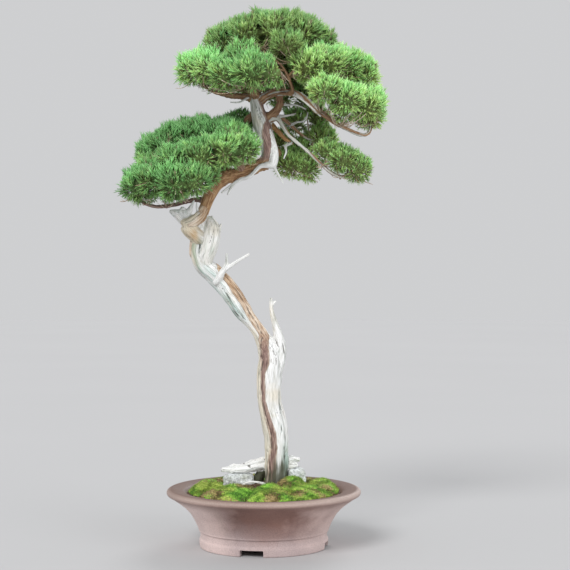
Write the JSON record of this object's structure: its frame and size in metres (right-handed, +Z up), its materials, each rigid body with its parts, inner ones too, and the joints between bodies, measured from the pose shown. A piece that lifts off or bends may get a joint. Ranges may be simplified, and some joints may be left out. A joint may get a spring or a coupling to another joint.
{
  "type": "bonsai tree in pot",
  "caption": "Literati style itoigawa juniper bonsai: a leaning, twisted trunk with bleached dead wood and green foliage pads, in a round flared unglazed clay pot with moss.",
  "frame": {"origin": "middle of the whole model's box, on the surface that the pot stands on", "axes": "+Z up, +X to the right and -Y towards the viewer as the picture shows it. The pot's own axis is parallel to +Z at x = 0.0153, y = 0"},
  "size_m": [0.4344, 0.3004, 0.8423],
  "materials": {
    "deadwood_and_bark": "bleached dead wood with strips of brown bark",
    "unglazed_clay": "matte, mottled reddish brown",
    "screen_plastic": "matte black",
    "potting_soil": "granular, moist",
    "stone": "rough, pale grey",
    "moss": "soft, living moss",
    "juniper_foliage": "matte green scale leaves"
  },
  "bodies": {
    "root": {"trunk": "deadwood_and_bark", "pot": "unglazed_clay", "drain_screen": "screen_plastic", "soil": "potting_soil", "stone_left": "stone", "stone_right": "stone", "moss_front_left": "moss", "moss_front": "moss", "moss_front_right": "moss", "moss_right": "moss", "moss_back": "moss", "moss_left_back": "moss", "moss_left": "moss", "moss_trunk_foot": "moss", "foliage_apex": "juniper_foliage", "foliage_crown_left": "juniper_foliage", "foliage_crown_front": "juniper_foliage", "foliage_crown_right": "juniper_foliage", "foliage_crown_low_right": "juniper_foliage", "foliage_crown_back": "juniper_foliage", "foliage_left_upper": "juniper_foliage", "foliage_left_lower": "juniper_foliage", "foliage_left_inner": "juniper_foliage", "foliage_left_back": "juniper_foliage", "foliage_under": "juniper_foliage", "foliage_right": "juniper_foliage"}
  },
  "joints": []
}
